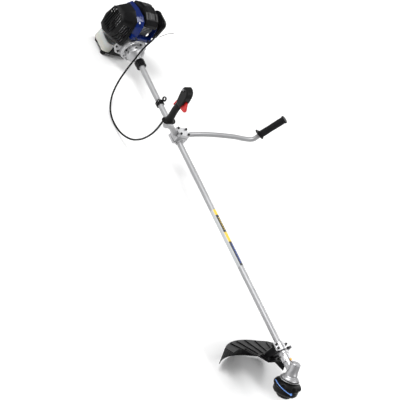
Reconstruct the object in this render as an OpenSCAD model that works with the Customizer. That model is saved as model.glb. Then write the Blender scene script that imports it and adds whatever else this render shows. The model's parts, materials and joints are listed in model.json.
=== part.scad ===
// Petrol string trimmer with a bull-horn handlebar.
//
// Everything is drawn in the tool's own frame: the drive tube lies along X with
// its rear end at x = 0, +Y is the user's left and +Z is up. place() then sets
// the tool down as it lies on a floor, on its tank stand and the rim of its
// guard. The cutting head is drawn in head_frame(), where +Z points down the
// output spindle, +X points forward and the origin is where the spindle's axis
// meets the drive shaft.

/* [Drive tube] */
// Outer diameter of the drive tube
tube_d = 26; // [24:0.5:30]
// Wall of the drive tube
tube_wall = 1.5; // [1.2:0.1:2]
// Length of drive tube that shows between the engine and the gear case
tube_shown = 1535; // [1300:5:1700]
// Diameter of the drive shaft that runs inside the tube
drive_d = 8; // [7:0.5:9]

/* [Engine] */
// Diameter of the round clutch housing where it meets the fan housing
clutch_d = 88; // [84:1:96]
// Diameter of the flywheel
flywheel_d = 104; // [92:1:110]
// Width of the cylinder's cooling fins, front to back
fin_w = 84; // [72:2:92]
// Width of the fuel tank, side to side
tank_w = 176; // [150:2:196]
// Height of the fuel tank
tank_h = 52; // [44:1:60]
// Width of the carrying stand under the tank
stand_w = 166; // [150:2:170]
// Thickness of the tray that carries the fuel tank
tray_t = 5; // [4:1:8]

/* [Handlebar] */
// Distance from the drive tube's rear end to the handlebar clamp
handle_x = 427; // [380:1:620]
// Height of the handlebar's middle over the drive tube's axis
handle_z = 28; // [28:1:60]
// Diameter of the handlebar tube
bar_d = 22; // [20:0.5:25]
// Diameter of the rubber grip
grip_d = 33; // [30:1:38]
// Length of the rubber grip
grip_len = 136; // [110:2:150]

/* [Cutting head] */
// Angle between the drive shaft and the output spindle
head_angle = 60; // [50:1:66]
// Diameter of the spool housing
spool_d = 116; // [104:2:124]
// Diameter of the steel flange under the gear case
flange_d = 83; // [72:1:96]
// Radius of the guard's rim from the spindle
guard_r = 286; // [240:2:310]
// Angle that the guard's rim covers on the right-hand side
guard_right = 39; // [30:1:50]
// Depth of the guard's rim below the shaft's crossing point
guard_rim = 80; // [70:1:96]
// Diameter of the nylon cutting line
line_d = 3; // [2:0.1:3.2]

/* [Throttle cable] */
// Outer diameter of the cable's plastic sleeve
cable_d = 8.5; // [5:0.5:9]

/* [Hidden] */

$fn = 48;

// Radial clearance of a shaft that turns in a bore
running = 0.05;
// Gap between a moving piece and what it passes
gap = 0.6;
tube_bore = tube_d - 2 * tube_wall;

// ---------------------------------------------------------------------------
// Stations along the drive tube, and the frame of the cutting head
// ---------------------------------------------------------------------------
tube_rear = -48;
neck_front = -20;
gear_neck_x = tube_shown;
tube_front = gear_neck_x + 25;
head_x = gear_neck_x + 90;

// Rest pose: the stand's rear feet and the lowest point of the guard's rim
stand_z = -118;
foot_rear_x = -246;
foot_front_x = -172;
rim_x = head_x - guard_r * sin(head_angle) + guard_rim * cos(head_angle);
rim_z = -guard_r * cos(head_angle) - guard_rim * sin(head_angle);
rest_pitch = atan2(stand_z - rim_z, rim_x - foot_rear_x);
rest_lift = -(foot_rear_x * sin(rest_pitch) + stand_z * cos(rest_pitch));
// The middle of the tool between the starter's back and the spool's front
rear_x = -274;
spool_bottom = 96;
front_x = head_x + spool_bottom * cos(head_angle) + spool_d / 2 * sin(head_angle);
// The pitch and the line's stub carry the middle this far back
middle_shift = 6;
middle_x = (rear_x + front_x) / 2 - middle_shift;

module place() {
    translate([-middle_x, 0, rest_lift]) rotate([0, -rest_pitch, 0]) children();
}

// From the tool's frame into the head's: +Z down the spindle, +X forward
module head_frame() {
    translate([head_x, 0, 0]) rotate([0, 180 - (90 - head_angle), 0]) mirror([1, 0, 0]) children();
}

// ---------------------------------------------------------------------------
// Shared shapes
// ---------------------------------------------------------------------------
// A cylinder along X from x0 to x1
module rod_x(x0, x1, d, fn = 48) {
    translate([x0, 0, 0]) rotate([0, 90, 0]) cylinder(h = x1 - x0, d = d, $fn = fn);
}

// A cone along X
module cone_x(x0, x1, d0, d1) {
    translate([x0, 0, 0]) rotate([0, 90, 0]) cylinder(h = x1 - x0, d1 = d0, d2 = d1);
}

// A cylinder along Y from y0 to y1
module rod_y(y0, y1, d, fn = 48) {
    translate([0, y0, 0]) rotate([-90, 0, 0]) cylinder(h = y1 - y0, d = d, $fn = fn);
}

// A box from its lowest corner to its highest
module block(low, high) {
    translate(low) cube(high - low);
}

// Corner points of a rounded rectangle centred on the origin
function rounded(w, h, r, n = 5) = [
    for (c = [[1, 1, 0], [-1, 1, 90], [-1, -1, 180], [1, -1, 270]], i = [0:n])
        let (t = c[2] + 90 * i / n)
        [c[0] * (w / 2 - r) + r * cos(t), c[1] * (h / 2 - r) + r * sin(t)]
];

// A plate with rounded corners, seen along Z
module rounded_plate(w, h, r, thick) {
    linear_extrude(height = thick) polygon(rounded(w, h, r));
}

// Puts a child drawn in the XY plane into the XZ plane, from y0 outward
module along_y(y0) {
    translate([0, y0, 0]) rotate([90, 0, 0]) mirror([0, 0, 1]) children();
}

// A hexagon socket screw that stands on z = 0 with its shank below
module screw(d, shank) {
    difference() {
        cylinder(h = d, d = 1.8 * d, $fn = 24);
        translate([0, 0, 0.45 * d]) cylinder(h = d, d = 0.95 * d, $fn = 6);
    }
    translate([0, 0, -shank]) cylinder(h = shank, d = d, $fn = 24);
}

// The hole that such a screw's shank sits in
module screw_hole(d, shank) {
    translate([0, 0, -shank - 0.5]) cylinder(h = shank + 1, d = d + 2 * running, $fn = 24);
}

// A ball bearing about X: an outer ring and an inner ring joined by a shield
module bearing_x(x0, bore, outer, width) {
    difference() {
        rod_x(x0, x0 + width, outer);
        rod_x(x0 - 1, x0 + width + 1, bore);
        for (side = [x0 - 1, x0 + width - 0.6])
            difference() {
                rod_x(side, side + 1.6, outer - 5);
                rod_x(side - 1, side + 3, bore + 5);
            }
    }
}

// ---- a round tube swept along a list of points -----------------------------
function unit(v) = v / norm(v);
function heading(p, i) =
    i == 0 ? unit(p[1] - p[0])
    : i == len(p) - 1 ? unit(p[i] - p[i - 1])
    : unit(unit(p[i + 1] - p[i]) + unit(p[i] - p[i - 1]));
// A sideways vector carried along the path, so that the tube never twists
function across(v, t) = unit(v - (v * t) * t);
function sides(p, i, v) = i == len(p) ? []
    : let (s = across(v, heading(p, i))) concat([s], sides(p, i + 1, s));
function ring(c, t, s, r, n) = [
    for (k = [0:n - 1])
        let (a = 360 * k / n) c + r * (cos(a) * s + sin(a) * cross(t, s))
];
module swept(p, r, n = 12, first = [0, 0, 1]) {
    m = len(p);
    s = sides(p, 0, first);
    points = [for (i = [0:m - 1]) each ring(p[i], heading(p, i), s[i], r, n)];
    walls = [for (i = [0:m - 2], k = [0:n - 1])
        [i * n + k, (i + 1) * n + k, (i + 1) * n + (k + 1) % n, i * n + (k + 1) % n]];
    polyhedron(points, concat([[for (k = [0:n - 1]) k]], walls,
        [[for (k = [n - 1:-1:0]) (m - 1) * n + k]]));
}
// A smooth curve through the points, with a few steps to each stretch
function curve_at(a, b, c, d, t) =
    0.5 * (2 * b + (c - a) * t + (2 * a - 5 * b + 4 * c - d) * t * t
    + (3 * b - a - 3 * c + d) * t * t * t);
function smooth(p, steps) = concat([
    for (i = [0:len(p) - 2], k = [0:steps - 1])
        curve_at(p[max(i - 1, 0)], p[i], p[i + 1], p[min(i + 2, len(p) - 1)], k / steps)
], [p[len(p) - 1]]);

// ---------------------------------------------------------------------------
// Engine: shaft line
// ---------------------------------------------------------------------------
// The fan housing clears the flywheel and carries the clutch housing
fan_d = max(flywheel_d + 24, clutch_d + 36);
fan_back = -124;
fan_front = -88;
clutch_cone = -66;
case_back = -206;
case_front = fan_back;
// The cooling fins stop just short of the fan housing
cylinder_x = fan_back - 2 - fin_w / 2;
cylinder_base = 46;
crank_d = 15;
chamber_d = 84;
drum_d = clutch_d - 12;
drum_wall = 2.5;
shoe_d = drum_d - 2 * drum_wall - 3;
clutch_bearing_d = 28;
clutch_bearing_x = -62;
hub_d = 12;
screw_d = 5;
clutch_screw_r = clutch_d / 2 + 7;

module crankcase() color("#b9bcbe") place() difference() {
    union() {
        rod_x(case_back, case_front, chamber_d);
        rod_x(case_front - 5, case_front, fan_d - 8);
        block([max(case_back, cylinder_x - 36), -36, 0], [cylinder_x + 36, 36, cylinder_base]);
        block([case_back, -28, -48], [case_front - 6, 28, -20]);
    }
    // flat on the front flange, under the cooling fins
    block([case_front - 6, -fin_d, cylinder_base + 6], [case_front + 1, fin_d, fan_d]);
    // crank chamber, shaft bore and the cylinder's spigot
    rod_x(cylinder_x - 17, cylinder_x + 17, 72);
    rod_x(case_back - 1, case_front + 1, crank_d + 2 * running);
    translate([cylinder_x, 0, 0]) cylinder(h = cylinder_base + 1, d = 44);
}

module crankshaft() color("#8e9295") place() {
    rod_x(starter_back + 14, clutch_cone - 22, crank_d);
    for (x = [cylinder_x - 14, cylinder_x + 5]) difference() {
        rod_x(x, x + 9, 64);
        translate([0, 0, 30]) rod_x(x - 1, x + 10, 22);
    }
}

module flywheel() color("#9da1a4") place() difference() {
    union() {
        rod_x(fan_back + 6, fan_back + 16, flywheel_d);
        rod_x(fan_back + 6, fan_front - 8, 34);
        for (a = [0:24:336]) rotate([a, 0, 0])
            block([fan_back + 14, -1.5, 24], [fan_front - 10, 1.5, flywheel_d / 2 - 2]);
    }
    rod_x(fan_back, fan_front, crank_d);
}

module clutch_shoes() color("#7f8386") place() difference() {
    union() {
        rod_x(clutch_cone - 18, clutch_cone - 6, 26);
        for (a = [0, 180]) rotate([a, 0, 0]) difference() {
            rod_x(clutch_cone - 18, clutch_cone - 6, shoe_d);
            rod_x(clutch_cone - 19, clutch_cone - 5, 38);
            block([clutch_cone - 19, -shoe_d, -shoe_d], [clutch_cone - 5, shoe_d, 4]);
        }
        for (a = [0, 180]) rotate([a, 0, 0])
            block([clutch_cone - 15, -4, 12], [clutch_cone - 9, 4, 21]);
    }
    rod_x(clutch_cone - 30, clutch_cone - 22, crank_d);
}

module clutch_drum() color("#85898c") place() difference() {
    union() {
        rod_x(clutch_cone - 20, clutch_cone - gap, drum_d);
        rod_x(clutch_cone - 1, clutch_bearing_x + 9, hub_d);
    }
    rod_x(clutch_cone - 21, clutch_cone - 4, drum_d - 2 * drum_wall);
    rod_x(clutch_cone - 5, clutch_bearing_x + 10, drive_d);
}

module clutch_housing() color("#c9cccd") place() difference() {
    rotate([0, 90, 0]) rotate_extrude() polygon([
        [0, fan_front], [clutch_d / 2, fan_front], [clutch_d / 2, clutch_cone],
        [clutch_d / 2 - 2, clutch_cone + 4], [26, clutch_bearing_x + 14], [19, clutch_bearing_x + 18],
        [19, neck_front], [0, neck_front]
    ]);
    rod_x(fan_front - 1, clutch_cone, drum_d + 4);
    rod_x(clutch_cone, clutch_bearing_x + 8, clutch_bearing_d);
    rod_x(clutch_cone, tube_rear + 0.01, tube_bore);
    rod_x(tube_rear, neck_front + 1, tube_d);
    // cooling slots round the cone
    for (a = [30:60:330]) rotate([a, 0, 0])
        block([clutch_cone - 16, -5, drum_d / 2 - 2], [clutch_cone - 5, 5, clutch_d]);
}

// Side flange: [distance outside the housing, angle] of its corners and of its two screws
function round_fan(list) = [for (p = list) (fan_d / 2 + p[0]) * [cos(p[1]), sin(p[1])]];
flange_corners = round_fan([[30, 181], [31, 196], [20, 220], [3, 243], [-20, 225], [-20, 190]]);
flange_screws = round_fan([[21.5, 191], [6.5, 217]]);
flange_t = 7;
// Flange that carries the muffler guard
module side_flange() translate([fan_back, 0, 0]) rotate([90, 0, 90])
    linear_extrude(height = flange_t) polygon(flange_corners);
module fan_housing() color("#c3c6c8") place() difference() {
    union() {
        rod_x(fan_back, fan_front - 8, fan_d);
        cone_x(fan_front - 8 - 0.01, fan_front - 5, fan_d, fan_d - 8);
        rod_x(fan_front - 5 - 0.01, fan_front, fan_d - 10);
        side_flange();
    }
    rod_x(fan_back - 1, fan_front - 4, flywheel_d + 6);
    rod_x(fan_front - 5, fan_front + 1, drum_d + 4);
    // slots through the front wall
    for (a = [0:30:330]) rotate([a + 15, 0, 0])
        block([fan_front - 6, -3, clutch_d / 2 + 3], [fan_front + 1, 3, clutch_d / 2 + 10]);
    for (a = [0:90:270]) rotate([a, 0, 0]) translate([fan_front, 0, clutch_screw_r])
        rotate([0, 90, 0]) screw_hole(screw_d, 7);
    for (p = flange_screws) translate([fan_back + flange_t, p[0], p[1]])
        rotate([0, 90, 0]) screw_hole(screw_d, 8);
}

module engine_screws() color("#3a3d40") place() {
    for (a = [0:90:270]) rotate([a, 0, 0]) translate([fan_front, 0, clutch_screw_r])
        rotate([0, 90, 0]) screw(screw_d, 7);
    for (p = flange_screws) translate([fan_back + flange_t, p[0], p[1]]) rotate([0, 90, 0]) screw(screw_d, 8);
    for (y = [-38, 34]) translate([-95, y, 70]) rotate([0, 90, 0]) screw(screw_d, 12);
}

collar_x = -27;
// Black collar that clamps the tube into the clutch housing's neck
module tube_collar() color("#1d1e20") place() difference() {
    union() {
        rod_x(collar_x, collar_x + 15, 48);
        rod_x(collar_x + 15, collar_x + 21, 43);
        rod_x(collar_x + 21, collar_x + 34, 47);
        rotate([-35, 0, 0]) block([collar_x + 22, -36, -9], [collar_x + 33, -18, 9]);
    }
    rod_x(collar_x - 1, neck_front, 38);
    rod_x(neck_front - 1, collar_x + 35, tube_d);
    // clamping slit and its bolt hole
    rotate([-35, 0, 0]) block([collar_x + 16, -40, -1], [collar_x + 36, -10, 1]);
    rotate([-35, 0, 0]) translate([collar_x + 27.5, -30, -10]) cylinder(h = 20, d = 5);
}

// ---------------------------------------------------------------------------
// Engine: cylinder, spark plug and covers
// ---------------------------------------------------------------------------
cylinder_top = 142;
bore_d = 40;
fin_pitch = 9;
fin_d = 84;
// Underside of the two covers, which the topmost fin stays below
cover_z = 128;

module cylinder_body() {
    translate([cylinder_x, 0, cylinder_base]) {
        cylinder(h = 8, d = 66);
        cylinder(h = cylinder_top - cylinder_base, d = 54);
        // the lowest fin clears the starter housing
        for (z = [starter_d / 2 + 2 - cylinder_base:fin_pitch:cover_z - cylinder_base - 4])
            translate([0, 0, z]) rounded_plate(fin_w, fin_d, 16, 2.4);
        // intake and exhaust flanges
        block([-20, 30, 24], [20, 46, 56]);
        block([-22, -46, 30], [22, -30, 62]);
    }
}
module cylinder_node() color("#a8acae") place() difference() {
    cylinder_body();
    translate([cylinder_x, 0, cylinder_base - 1]) cylinder(h = cylinder_top - cylinder_base - 12, d = bore_d);
    translate([cylinder_x, 0, cylinder_top - 14]) cylinder(h = 30, d = 14);
}

module spark_plug() color("#d8d8d4") place() translate([cylinder_x, 0, cylinder_top - 12]) {
    cylinder(h = 12, d = 14);
    translate([0, 0, 12]) cylinder(h = 9, d = 20, $fn = 6);
    translate([0, 0, 21]) cylinder(h = 14, d = 10);
}

module plug_cap() color("#202122") place() translate([cylinder_x, 0, cylinder_top + 10]) difference() {
    union() {
        cylinder(h = 22, d = 20);
        translate([0, 0, 15]) rod_x(-26, 0, 10);
    }
    translate([0, 0, -1]) cylinder(h = 14, d = 10);
}

// Side outline of the black cover over the spark plug, as [x, z]
cover_side = [[-262, 128], [-262, 158], [-236, 178], [-196, 190], [-158, 188], [-124, 174],
    [-106, 156], [-104, 140]];
cover_face = [[-256, 128], [-256, 152], [-232, 170], [-196, 181], [-160, 180], [-128, 167],
    [-111, 152], [-110, 140]];
cover_hollow = [[-252, 100], [-252, 149], [-230, 166], [-195, 177.5], [-161, 176.5], [-130, 164],
    [-114, 149], [-113, 100]];
cover_right = -38;
cover_left = 36;
module top_cover() color("#232426") place() difference() {
    hull() {
        along_y(cover_right + 7) linear_extrude(height = cover_left - cover_right - 14) polygon(cover_side);
        along_y(cover_right) linear_extrude(height = cover_left - cover_right)
            polygon(cover_face);
    }
    along_y(cover_right + 3) linear_extrude(height = cover_left - cover_right - 6)
        polygon(cover_hollow);
    // shallow recess on the top
    along_y(-12) linear_extrude(height = 30)
        polygon([[-206, 187], [-196, 200], [-130, 200], [-128, 174], [-160, 185]]);
    // plug lead
    translate([0, 0, cylinder_top + 17]) rod_x(-266, -240, 11);
}

// The blue shroud: two bevelled bands over the engine, joined at the front
band_low = [[-256, 126], [-256, 136], [-206, 147], [-160, 147], [-134, 136], [-122, 116],
    [-118, 66], [-124, 60], [-136, 60], [-140, 126]];
band_high = [[-262, 126], [-262, 151], [-206, 163], [-150, 165], [-124, 156], [-107, 136],
    [-98, 96], [-94, 64], [-128, 60], [-136, 126]];
module band(y_low, y_high) {
    hull() {
        along_y(y_low) linear_extrude(height = 1) polygon(band_low);
        along_y(y_high) linear_extrude(height = 1) polygon(band_high);
    }
}
module blue_shroud() color("#1b4bb5") place() difference() {
    union() {
        band(-70, -43);
        band(56, 40);
        block([-126, -69, 60], [-95, 56, 78]);
    }
    // hollow inside, over the cylinder and the fan housing
    translate([cylinder_x, 0, 40]) rounded_plate(fin_w + 2, 94, 16, 112);
    along_y(-90) linear_extrude(height = 170)
        polygon([[-270, 100], [-270, 131], [-164, 141], [-142, 131], [-129, 112], [-124, 40], [-180, 20]]);
    rod_x(fan_back - 1, fan_front, fan_d);
    // keep the black cover's place clear
    block([-270, cover_right, 120], [-96, cover_left, 200]);
    // room for the muffler's corner
    translate([muffler_x, 0, muffler_z]) along_y(-106)
        rounded_plate(muffler_w + 1, muffler_h + 1, 16.5, 64);
    for (y = [-38, 34]) translate([-95, y, 70]) rotate([0, 90, 0]) {
        screw_hole(screw_d, 12);
        cylinder(h = 9, d = 2 * screw_d);
    }
}

// ---------------------------------------------------------------------------
// Engine: muffler and its louvred guard, on the right
// ---------------------------------------------------------------------------
muffler_x = -178;
muffler_z = 86;
muffler_w = 96;
muffler_h = 84;
module muffler() color("#6f6a62") place() difference() {
    union() {
        translate([muffler_x, 0, muffler_z]) along_y(-104) rounded_plate(muffler_w, muffler_h, 16, 48);
        block([cylinder_x - 18, -57, 78], [cylinder_x + 18, -46, 106]);
        // outlet
        translate([muffler_x - 22, 0, 58]) rod_y(-112, -102, 18);
    }
    translate([muffler_x, 0, muffler_z]) along_y(-101)
        rounded_plate(muffler_w - 6, muffler_h - 6, 13, 42);
    translate([muffler_x - 22, 0, 58]) rod_y(-113, -100, 13);
}

// Outlines of the guard's louvred face and of its open back, as [x, z]
guard_face = [[-234, 4], [-248, 55], [-238, 112], [-216, 146], [-166, 150], [-138, 128],
    [-136, 45], [-160, 8], [-204, -6]];
guard_back = [[-254, 0], [-264, 60], [-258, 120], [-238, 152], [-180, 160], [-128, 140],
    [-108, 72], [-108, 0], [-146, -30], [-226, -28]];
guard_wall_t = 3.5;
// An outline moved inwards, towards a middle point
function inward(p, mid, t) = [for (q = p) q - t * unit(q - mid)];
louvres = 7;
louvre_pitch = 13;
module muffler_guard() color("#1b1c1d") place() difference() {
    hull() {
        along_y(-142) linear_extrude(height = 3) polygon(guard_face);
        along_y(-77) linear_extrude(height = 4) polygon(guard_back);
    }
    hull() {
        along_y(-138.5) linear_extrude(height = 2) polygon(inward(guard_face, [-190, 70], guard_wall_t));
        along_y(-76) linear_extrude(height = 5) polygon(inward(guard_back, [-180, 70], guard_wall_t + 1));
    }
    for (i = [0:louvres - 1]) translate([-190 + (i - (louvres - 1) / 2) * louvre_pitch, 0, 72])
        along_y(-143) linear_extrude(height = 8)
            polygon(rounded(6.5, i == 0 || i == louvres - 1 ? 74 : 104, 3));
    // vents in the rear and front flanks
    for (z = [66:16:130]) block([-280, -128, z], [-236, -92, z + 9]);
    for (y = [-126:11:-93]) block([-150, y, 14], [-90, y + 5, 104]);
    // notch that fits the fan housing's flange
    side_flange();
}

// ---------------------------------------------------------------------------
// Engine: intake side, on the left
// ---------------------------------------------------------------------------
intake_z = 92;
carb_left = 76;
module intake_block() color("#2b2b2c") place() difference() {
    block([cylinder_x - 20, 46, intake_z - 18], [cylinder_x + 20, 56, intake_z + 14]);
    translate([cylinder_x, 0, intake_z]) rod_y(45, 57, 16);
}
module carburettor() color("#aeb1b3") place() difference() {
    union() {
        block([cylinder_x - 19, 56, intake_z - 16], [cylinder_x + 19, carb_left, intake_z + 16]);
        translate([cylinder_x, 66, intake_z + 16]) cylinder(h = 12, d = 18);
        translate([cylinder_x + 19, 66, intake_z + 10]) rod_x(0, 12, 11);
    }
    translate([cylinder_x, 0, intake_z]) rod_y(55, carb_left + 1, 16);
    // well that the primer bulb is pressed into
    translate([cylinder_x, 66, intake_z - 17])
        cylinder(h = primer_travel + 1 + gap, d = 2 * (primer_r + gap));
}
primer_r = 8;
primer_travel = 4;
module primer_bulb() color("#c65a4a") place() translate([cylinder_x, 66, intake_z - 16]) mirror([0, 0, 1]) {
    rotate_extrude() polygon([
        [0, 0], [primer_r, 0], [primer_r, 5], [primer_r - 1, 9], [primer_r - 4, 12], [0, 13]
    ]);
}
filter_x = -176;
filter_z = 116;
choke_pivot = [-208, 0, 148];
module filter_base() color("#27282a") place() difference() {
    translate([filter_x, 0, filter_z]) along_y(carb_left) rounded_plate(98, 100, 20, 6);
    translate([cylinder_x, 0, intake_z]) rod_y(carb_left - 1, carb_left + 7, 16);
    translate(choke_pivot) rod_y(carb_left - 1, carb_left + 7, 6 + 2 * running);
}
filter_left = 108;
module filter_cover() color("#202123") place() difference() {
    hull() {
        translate([filter_x, 0, filter_z]) along_y(carb_left + 6) rounded_plate(106, 108, 24, 14);
        translate([filter_x, 0, filter_z - 2]) along_y(filter_left - 6) rounded_plate(84, 84, 24, 6);
    }
    translate([filter_x, 0, filter_z]) along_y(carb_left + 5) rounded_plate(99, 101, 20.5, 13);
    translate([filter_x, 0, filter_z]) along_y(carb_left + 14) rounded_plate(84, 86, 20, 9);
    translate([filter_x, 0, filter_z]) rod_y(filter_left - 12, filter_left + 1, 10);
}
module filter_knob() color("#151617") place() translate([filter_x, 0, filter_z]) {
    rod_y(filter_left - 11, filter_left + gap, 9);
    translate([0, filter_left + gap, 0]) {
        rod_y(0, 6, 26);
        block([-3, 0, -11], [3, 10, 11]);
    }
}
module choke_lever() color("#17181a") place() translate(choke_pivot) {
    rod_y(carb_left - gap, carb_left + 6, 6);
    translate([0, carb_left - gap - 5, 0]) {
        rod_y(0, 5, 14);
        block([-46, 0, -4], [0, 4, 4]);
        block([-54, -8, -6], [-45, 4, 8]);
    }
}

// ---------------------------------------------------------------------------
// Engine: recoil starter, fuel tank and stand
// ---------------------------------------------------------------------------
starter_back = rear_x;
starter_d = 132;
pulley_x = -256;
pulley_d = 84;
rope_z = pulley_d / 2 - 2;
handle_rest_y = starter_d / 2 + 4;
module starter_housing() color("#26282a") place() difference() {
    union() {
        rod_x(starter_back + 8, case_back - 6, starter_d);
        cone_x(starter_back, starter_back + 8, starter_d - 26, starter_d);
        rod_x(case_back - 6, case_back, chamber_d);
        // mouth that the rope leaves by
        translate([pulley_x, 0, rope_z]) rod_y(50, handle_rest_y, 18);
    }
    cone_x(starter_back + 4, starter_back + 12, starter_d - 34, starter_d - 8);
    rod_x(starter_back + 12 - 0.01, case_back - 10, starter_d - 8);
    rod_x(case_back - 11, case_back + 1, 40);
    translate([pulley_x, 0, rope_z]) rod_y(40, handle_rest_y + 1, 7);
    // vents in the back
    for (a = [0:30:330]) rotate([a, 0, 0])
        block([starter_back - 1, -3, 30], [starter_back + 5, 3, 50]);
}
module starter_pulley() color("#3b3d3f") place() difference() {
    union() {
        rod_x(pulley_x - 7, pulley_x - 5, pulley_d);
        rod_x(pulley_x - 7, pulley_x + 7, pulley_d - 8);
        rod_x(pulley_x + 5, pulley_x + 7, pulley_d);
        rod_x(pulley_x + 7, pulley_x + 12, 40);
    }
    rod_x(pulley_x - 8, pulley_x + 13, crank_d + 2 * running);
}
module starter_handle() color("#151617") place() translate([pulley_x, handle_rest_y + gap, rope_z]) {
    rod_y(0, 18, 16);
    translate([0, 14, -34]) cylinder(h = 68, d = 17);
    // stub of the rope inside the mouth
    rod_y(-14, 0, 4);
}

tank_x0 = -270;
tank_x1 = -160;
tank_top = -49;
tank_bottom = tank_top - tank_h;
tray_z = tank_bottom - tray_t;
filler = [case_back + 24, tank_w / 2 - 22, tank_top];
neck_h = 6;
fuel_cap_d = 38;
saddle_gap = 2;
tank_wall = 2.5;
module fuel_tank() color("#e4e6e2", 0.7) place() difference() {
    union() {
        translate([(tank_x0 + tank_x1) / 2, 0, tank_bottom])
            rounded_plate(tank_x1 - tank_x0, tank_w, 20, tank_h);
        translate(filler) cylinder(h = neck_h, d = 34);
    }
    difference() {
        translate([(tank_x0 + tank_x1) / 2, 0, tank_bottom + tank_wall])
            rounded_plate(tank_x1 - tank_x0 - 2 * tank_wall, tank_w - 2 * tank_wall, 17.5,
                tank_h - 2 * tank_wall);
        rod_x(tank_x0 - 1, case_back + 4 + tank_wall, starter_d + 2 * (saddle_gap + tank_wall));
    }
    // saddle under the starter
    rod_x(tank_x0 - 1, case_back + 4, starter_d + 2 * saddle_gap);
    translate([filler[0], filler[1], filler[2] - 4]) cylinder(h = 20, d = 28);
}
module fuel_cap() color("#1a1b1c") place() translate([filler[0], filler[1], filler[2] + neck_h + gap]) {
    difference() {
        cylinder(h = 13, d = fuel_cap_d);
        for (a = [0:20:340]) rotate([0, 0, a]) translate([fuel_cap_d / 2 + 0.5, 0, -1])
            cylinder(h = 20, d = 3.4, $fn = 16);
    }
    translate([0, 0, -8]) cylinder(h = 9, d = 27);
}

// Flat tray with a front bracket and four feet that reach the floor
module tank_stand() color("#202122") {
    place() difference() {
        union() {
            translate([(tank_x0 + tank_x1) / 2, 0, tray_z])
                rounded_plate(tank_x1 - tank_x0 + 6, stand_w, 22, tray_t);
            block([tank_x1, -46, tray_z], [tank_x1 + 6, 46, -49]);
            block([tank_x1, -30, -53], [case_front - 8, 30, -49]);
        }
        for (y = [-24, 24]) translate([tank_x1 - 1, y, -70]) rod_x(0, 9, 12);
    }
    // feet, cut level with the floor
    for (x = [foot_rear_x, foot_front_x], y = [-1, 1]) {
        foot_x = x * cos(rest_pitch) - (tray_z) * sin(rest_pitch) - middle_x;
        foot_top = rest_lift + x * sin(rest_pitch) + (tray_z + 1) * cos(rest_pitch);
        translate([foot_x, y * (stand_w / 2 - 16), 0]) cylinder(h = foot_top, d1 = 22, d2 = 28);
    }
}

// ---------------------------------------------------------------------------
// Drive tube and what is on it
// ---------------------------------------------------------------------------
module drive_tube() color("#c4c6c8") place() difference() {
    rod_x(tube_rear, tube_front, tube_d);
    rod_x(tube_rear - 1, tube_front + 1, tube_bore);
}
pinion_back = head_x - 24;
module drive_shaft() color("#7d8183") place() rod_x(clutch_cone - 3, pinion_back + 2, drive_d);
bush_count = 5;
module shaft_bushes() color("#3a3b3c") place()
    for (i = [1:bush_count]) difference() {
        x = i * tube_front / (bush_count + 1);
        rod_x(x, x + 30, tube_bore);
        rod_x(x - 1, x + 31, drive_d + 2 * running);
    }
label_x = 828;
label_len = 290;
module tube_label() color("#e9c81f") place() difference() {
    rod_x(label_x, label_x + label_len, tube_d + 0.6);
    rod_x(label_x - 1, label_x + label_len + 1, tube_d);
}
hanger_x = 217;
module hanger_clamp() color("#1c1d1f") place() difference() {
    union() {
        rod_x(hanger_x, hanger_x + 20, tube_d + 12);
        block([hanger_x + 4, -4, 0], [hanger_x + 16, 4, 32]);
        translate([hanger_x + 10, 0, 34]) rotate([90, 0, 0]) cylinder(h = 8, d = 24, center = true);
        rotate([-35, 0, 0]) block([hanger_x + 3, -34, -7], [hanger_x + 17, -8, 7]);
    }
    rod_x(hanger_x - 1, hanger_x + 21, tube_d);
    translate([hanger_x + 10, 0, 35]) rotate([90, 0, 0]) cylinder(h = 10, d = 13, center = true);
    rotate([-35, 0, 0]) block([hanger_x - 1, -40, -1], [hanger_x + 21, -5, 1]);
    rotate([-35, 0, 0]) translate([hanger_x + 10, -26, 0]) cylinder(h = 20, d = 6, center = true);
}

// ---------------------------------------------------------------------------
// Handlebar
// ---------------------------------------------------------------------------
cap_w = 47;
cap_l = 66;
cap_top = handle_z + bar_d / 2 + 8;
bolt_x = 16;
bolt_y = 24;
bolt_d = 6;
bolt_shank = cap_top + 10;
module handle_base() color("#b7babb") place() difference() {
    union() {
        block([handle_x - cap_w / 2, -cap_l / 2, 1], [handle_x + cap_w / 2, cap_l / 2, handle_z - 1]);
        rod_x(handle_x - 30, handle_x + 30, tube_d + 9);
    }
    rod_x(handle_x - 31, handle_x + 31, tube_d);
    translate([handle_x, 0, handle_z]) rod_y(-cap_l, cap_l, bar_d);
    block([handle_x - 40, -40, -40], [handle_x + 40, 40, 1]);
    handle_bolt_places() screw_hole(bolt_d, bolt_shank);
}
// Lower half of the clamp, under the drive tube
module handle_saddle() color("#b2b5b7") place() difference() {
    union() {
        rod_x(handle_x - 26, handle_x + 26, tube_d + 9);
        block([handle_x - cap_w / 2, -cap_l / 2, -12], [handle_x + cap_w / 2, cap_l / 2, -1]);
    }
    rod_x(handle_x - 31, handle_x + 31, tube_d);
    block([handle_x - 40, -40, -1], [handle_x + 40, 40, 40]);
    handle_bolt_places() screw_hole(bolt_d, bolt_shank);
}
module handle_cap() color("#c6c9ca") place() difference() {
    translate([handle_x, 0, handle_z + 1]) rounded_plate(cap_w, cap_l, 7, cap_top - handle_z - 1);
    translate([handle_x, 0, handle_z]) rod_y(-cap_l, cap_l, bar_d);
    handle_bolt_places() screw_hole(bolt_d, bolt_shank);
}
module handle_bolt_places() {
    for (x = [-bolt_x, bolt_x], y = [-bolt_y, bolt_y])
        translate([handle_x + x, y, cap_top]) children();
}
module handle_bolts() color("#1a1b1c") place() handle_bolt_places() screw(bolt_d, bolt_shank);

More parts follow.
